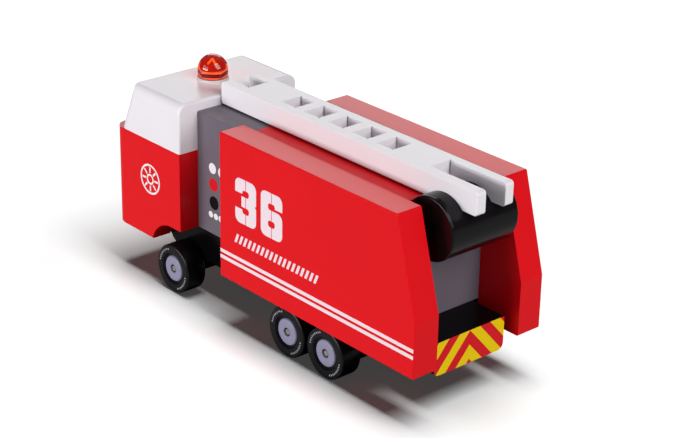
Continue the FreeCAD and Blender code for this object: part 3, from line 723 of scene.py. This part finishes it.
def tyre_dashes(where, side, across):
    """Two arcs of plain dashes printed on the tyre's outer wall."""
    centre, out = wheel_face(f"tyre_{where}_{side}", side)
    centre.y += out * INK / 2
    arcs = bmesh.new()
    for start in DASH_ARCS:
        arc = SPOKES.make("dashes", Count=DASH_COUNT, Step=DASH_STEP, Radius=DASH_RADIUS * MM,
                          Length=DASH_HIGH * MM, Width=DASH_WIDE * MM, Thickness=INK, Finish=dash_ink)
        arc.transform(Matrix.Rotation(start, 4, "Z"))
        arcs.from_mesh(arc)
    mesh = bpy.data.meshes.new("dashes")
    arcs.to_mesh(mesh)
    arcs.free()
    onto(mesh, centre, across, UP)
    new_piece(f"dashes_{where}_{side}", mesh, dash_ink, f"{where}_wheels")


for side, (sign, across) in SIDES.items():
    ticks(side, across)
    badge(side, sign, across)
for where, side in WHEELS:
    tyre_dashes(where, side, SIDES[side][1])


# --- chevrons on the tail ---------------------------------------------------------------

CHEVRON_HALF, CHEVRON_CORNER = 19.75, 3.0  # half the plate's width, radius of its lower corners
BAND_ACROSS, BAND_UP = 5.8, 6.5  # a band's width, measured across and upwards
BANDS = range(-4, 3)  # band edges, counted down the middle from the plate's top


def cut_bands(plate, top):
    """Cut the plate along its middle and along every band's edge, on both sides of the middle."""
    bmesh.ops.bisect_plane(plate, geom=plate.verts[:] + plate.edges[:] + plate.faces[:],
                           plane_co=(0, 0, 0), plane_no=(1, 0, 0))
    for sign in (1, -1):
        slope = Vector((sign / BAND_ACROSS, 1 / BAND_UP, 0)).normalized()
        for band in BANDS:
            half = [f for f in plate.faces if f.calc_center_median().x * sign > 0]
            around = set(half) | {e for f in half for e in f.edges} | {v for f in half for v in f.verts}
            bmesh.ops.bisect_plane(plate, geom=list(around), plane_no=slope,
                                   plane_co=(0, top - band * BAND_UP * MM, 0))


def colour_bands(plate, top):
    """Red for the even bands and yellow for the odd ones."""
    for face in plate.faces:
        middle = face.calc_center_median()
        band = math.floor((top - middle.y) / (BAND_UP * MM) - abs(middle.x) / (BAND_ACROSS * MM))
        face.material_index = band % 2


def chevron_plate():
    """Thin plate on the tail's rear face, split into red and yellow bands that point up."""
    tail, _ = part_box("chassis_board")
    deck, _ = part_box("body_block")
    top = deck.z - tail.z
    outline = [(-CHEVRON_HALF, 0, CHEVRON_CORNER), (CHEVRON_HALF, 0, CHEVRON_CORNER),
               (CHEVRON_HALF, top / MM, 0), (-CHEVRON_HALF, top / MM, 0)]
    plate = bmesh.new()
    plate.faces.new([plate.verts.new((p.x * MM, p.y * MM, 0)) for p in round_corners(outline)])
    cut_bands(plate, top)
    colour_bands(plate, top)
    skin = bmesh.ops.extrude_face_region(plate, geom=plate.faces[:])
    lifted = [v for v in skin["geom"] if isinstance(v, bmesh.types.BMVert)]
    bmesh.ops.translate(plate, verts=lifted, vec=(0, 0, INK))
    bmesh.ops.recalc_face_normals(plate, faces=plate.faces)
    mesh = bpy.data.meshes.new("chevrons")
    plate.to_mesh(mesh)
    plate.free()
    onto(mesh, Vector((tail.x, 0, tail.z)), Vector((0, -1, 0)), UP)
    mesh.materials.append(red_ink)
    mesh.materials.append(yellow_ink)
    new_piece("chevrons", mesh, red_ink, CHASSIS)


chevron_plate()


# --- studio -----------------------------------------------------------------------------

FLOOR_SIZE = 8.0  # metres, as are all sizes below
SHADOW_GREY = 0.045  # what the deepest shadow still shows
LIT_FLOOR = 0.4  # the floor's grey to everything but the camera
SWEEP_START, SWEEP_END, SWEEP_TO = 0.14, 1.1, 2.6  # how the camera's floor brightens as the lamp fades
FADE_START, FADE_END = 1.0, 2.0  # where the floor turns into plain white
CAMERA_PLACE = (-0.5695, 0.4944, 0.3857)
CAMERA_AZIMUTH, CAMERA_ELEVATION, CAMERA_ROLL = 228.0, 24.12, 1.23  # degrees
CAMERA_LENS, CAMERA_SENSOR = 98.13, 36.0  # millimetres
MIDDLE = (0, 0, 0.05)  # where the softboxes aim
UNDER_LAMP = (-0.9, -0.1, 0.0)


def seen_or_lit(tree, seen, lit):
    """A level that the camera sees and another that lights everything else."""
    path = tree.nodes.new("ShaderNodeLightPath")
    mix = tree.nodes.new("ShaderNodeMix")
    mix.inputs["A"].default_value = lit
    tree.links.new(seen, mix.inputs["B"])
    tree.links.new(path.outputs["Is Camera Ray"], mix.inputs["Factor"])
    return mix.outputs["Result"]


def floor_finish():
    """Matt pale floor that keeps its shadow and ends in white far from the toy."""
    material = bpy.data.materials.new("pale_floor")
    material.use_nodes = True
    tree = material.node_tree
    tree.nodes.remove(tree.nodes["Principled BSDF"])
    places = tree.nodes.new("ShaderNodeTexCoord")
    away = tree.nodes.new("ShaderNodeVectorMath")
    away.operation = "LENGTH"
    tree.links.new(places.outputs["Object"], away.inputs[0])
    distance = away.outputs["Value"]
    sweep = spread(tree, distance, SWEEP_START, SWEEP_END, 1.0, SWEEP_TO)
    matt = tree.nodes.new("ShaderNodeBsdfDiffuse")
    tree.links.new(seen_or_lit(tree, sweep, LIT_FLOOR), matt.inputs["Color"])
    fade = spread(tree, distance, FADE_START, FADE_END, SHADOW_GREY, 1.0)
    lift = tree.nodes.new("ShaderNodeEmission")
    tree.links.new(seen_or_lit(tree, fade, 0.0), lift.inputs["Strength"])
    both = tree.nodes.new("ShaderNodeAddShader")
    tree.links.new(matt.outputs["BSDF"], both.inputs[0])
    tree.links.new(lift.outputs["Emission"], both.inputs[1])
    tree.links.new(both.outputs["Shader"], tree.nodes["Material Output"].inputs["Surface"])
    return material


def floor():
    """Square floor under the toy."""
    mesh = bpy.data.meshes.new("floor")
    half = FLOOR_SIZE / 2
    corners = [(-half, -half, 0), (half, -half, 0), (half, half, 0), (-half, half, 0)]
    mesh.from_pydata(corners, [], [(0, 1, 2, 3)])
    mesh.materials.append(floor_finish())
    plane = bpy.data.objects.new("floor", mesh)
    bpy.context.scene.collection.objects.link(plane)
    return plane


def world(seen, through, mirrored, lit):
    """A level for what the camera sees, for clear plastic, for reflections and as a light."""
    sky = bpy.data.worlds.new("studio")
    bpy.context.scene.world = sky
    sky.use_nodes = True
    tree = sky.node_tree
    path = tree.nodes.new("ShaderNodeLightPath")
    level = None
    rays = {"Is Glossy Ray": mirrored, "Is Transmission Ray": through, "Is Camera Ray": seen}
    for ray, value in rays.items():
        mix = tree.nodes.new("ShaderNodeMix")
        mix.inputs["A"].default_value = lit
        mix.inputs["B"].default_value = value
        if level:
            tree.links.new(level, mix.inputs["A"])
        tree.links.new(path.outputs[ray], mix.inputs["Factor"])
        level = mix.outputs["Result"]
    tree.links.new(level, tree.nodes["Background"].inputs["Strength"])
    tree.nodes["Background"].inputs["Color"].default_value = (1, 1, 1, 1)


def softbox(name, place, target, wide, high, watts, only=None, spared=None, tint=(1, 1, 1)):
    """Rectangular lamp aimed at target; it may light only one object, or spare one."""
    lamp = bpy.data.lights.new(name, "AREA")
    lamp.shape = "RECTANGLE"
    lamp.size, lamp.size_y = wide, high
    lamp.energy = watts
    lamp.color = tint
    box = bpy.data.objects.new(name, lamp)
    bpy.context.scene.collection.objects.link(box)
    box.location = place
    box.rotation_euler = (Vector(target) - Vector(place)).to_track_quat("-Z", "Y").to_euler()
    if only or spared:
        named = bpy.data.collections.new(name + "_lights")
        named.objects.link(only or spared)
        named.collection_objects[0].light_linking.link_state = "INCLUDE" if only else "EXCLUDE"
        box.light_linking.receiver_collection = named
    return box


def camera():
    """Camera on the left rear, above the toy."""
    lens = bpy.data.cameras.new("camera")
    lens.lens, lens.sensor_width = CAMERA_LENS, CAMERA_SENSOR
    lens.clip_start, lens.clip_end = 0.01, 50
    seen = bpy.data.objects.new("camera", lens)
    bpy.context.scene.collection.objects.link(seen)
    azimuth, elevation, roll = (math.radians(a) for a in (CAMERA_AZIMUTH, CAMERA_ELEVATION, CAMERA_ROLL))
    back = Vector((math.sin(azimuth) * math.cos(elevation), -math.cos(azimuth) * math.cos(elevation),
                   math.sin(elevation)))
    right = (-back).cross(UP).normalized()
    up = right.cross(-back)
    across = right * math.cos(roll) + up * math.sin(roll)
    upward = up * math.cos(roll) - right * math.sin(roll)
    turn = Matrix((across, upward, back)).transposed().to_4x4()
    seen.matrix_world = Matrix.Translation(CAMERA_PLACE) @ turn
    bpy.context.scene.camera = seen


bpy.context.scene.view_settings.view_transform = "Standard"
ground = floor()
world(seen=1.0, through=0.9, mirrored=0.08, lit=0.0)
softbox("floor_softbox", (-0.9, -0.1, 3.0), UNDER_LAMP, 3.2, 0.9, 114.0, only=ground, tint=(0.97, 1.0, 1.0))
softbox("left_low_softbox", (0.2, 1.1, 0.2), MIDDLE, 0.9, 0.25, 9.4, spared=ground)
softbox("left_softbox", (0.25, 1.0, 0.47), MIDDLE, 0.9, 0.25, 2.0, spared=ground)
softbox("rear_softbox", (-1.0, -0.15, 0.5), MIDDLE, 0.6, 0.4, 4.6, spared=ground)
softbox("rear_high_softbox", (-0.8, 0.0, 0.9), MIDDLE, 0.5, 0.5, 5.8, spared=ground)
softbox("back_softbox", (0.82, -0.75, 0.55), MIDDLE, 0.75, 0.6, 4.2, spared=ground)
camera()
